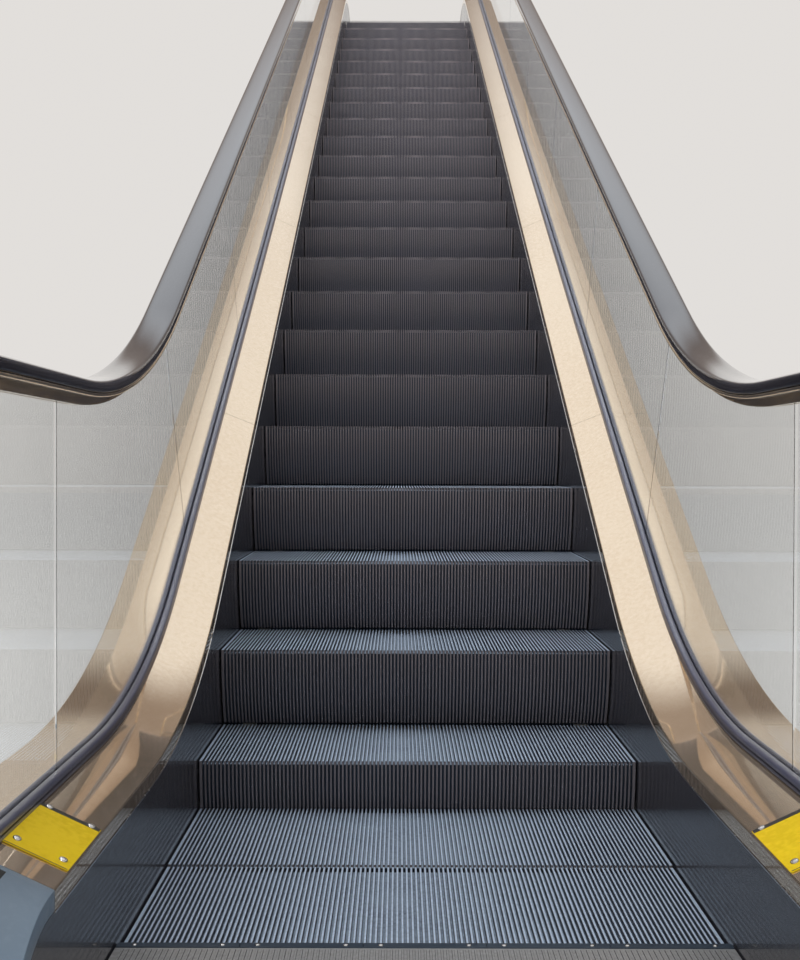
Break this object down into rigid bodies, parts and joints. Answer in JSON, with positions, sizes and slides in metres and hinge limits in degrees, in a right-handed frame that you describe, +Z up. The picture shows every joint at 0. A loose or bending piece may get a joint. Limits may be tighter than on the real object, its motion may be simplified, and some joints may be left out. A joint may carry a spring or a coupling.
{
  "type": "escalator",
  "caption": "Indoor escalator with cleated steps, clear glass balustrades, mirrored bronze decks and black handrails, rising from a lower to an upper landing.",
  "frame": {"origin": "middle of the underside of the lower bearing bracket, 300 mm below the finished floor", "axes": "+X to the right of someone riding up, +Y along the climb, +Z up"},
  "size_m": [1.5, 12.7329, 5.879],
  "materials": {
    "step": "die-cast aluminium with dark grey riser and tread grooves",
    "skirt": "dark grey low-friction coating, semi-gloss",
    "deck": "mirror-polished bronze-tinted stainless steel",
    "seal": "blue-grey extruded sealing bead",
    "clamp": "extruded glass clamp",
    "glass": "clear toughened glass",
    "guide": "champagne-coloured handrail guide",
    "handrail": "glossy black handrail rubber",
    "end_cap": "satin grey-blue end cap",
    "inlet": "black handrail inlet",
    "caution": "yellow enamelled plate, bare",
    "comb": "dark comb segments",
    "comb_plate": "pale ribbed comb plate",
    "floor_plate": "ribbed floor plate",
    "frame": "painted steel angle",
    "truss": "painted steel sections",
    "track": "rolled steel track",
    "cladding": "satin bronze-tinted stainless steel",
    "soffit": "satin painted sheet"
  },
  "bodies": {
    "root": {"lower_steps": "step", "middle_steps": "step", "upper_steps": "step", "left_skirt": "skirt", "right_skirt": "skirt", "left_inner_deck": "deck", "right_inner_deck": "deck", "left_glass_seals": "seal", "right_glass_seals": "seal", "left_glass_clamp": "clamp", "right_glass_clamp": "clamp", "left_outer_deck": "deck", "right_outer_deck": "deck", "left_glass": "glass", "right_glass": "glass", "left_handrail_guide": "guide", "right_handrail_guide": "guide", "left_handrail": "handrail", "right_handrail": "handrail", "lower_left_end_cap": "end_cap", "lower_right_end_cap": "end_cap", "upper_left_end_cap": "end_cap", "upper_right_end_cap": "end_cap", "handrail_inlets": "inlet", "caution_plates": "caution", "lower_comb": "comb", "upper_comb": "comb", "lower_comb_plate": "comb_plate", "upper_comb_plate": "comb_plate", "lower_floor_plate": "floor_plate", "upper_floor_plate": "floor_plate", "lower_floor_frame": "frame", "upper_floor_frame": "frame", "left_truss_side": "truss", "right_truss_side": "truss", "truss_cross_members": "truss", "left_tracks": "track", "right_tracks": "track", "left_cladding": "cladding", "right_cladding": "cladding", "soffit": "soffit", "lower_end_plate": "truss", "upper_end_plate": "truss", "lower_bearing": "truss", "upper_bearing": "truss"}
  },
  "joints": []
}
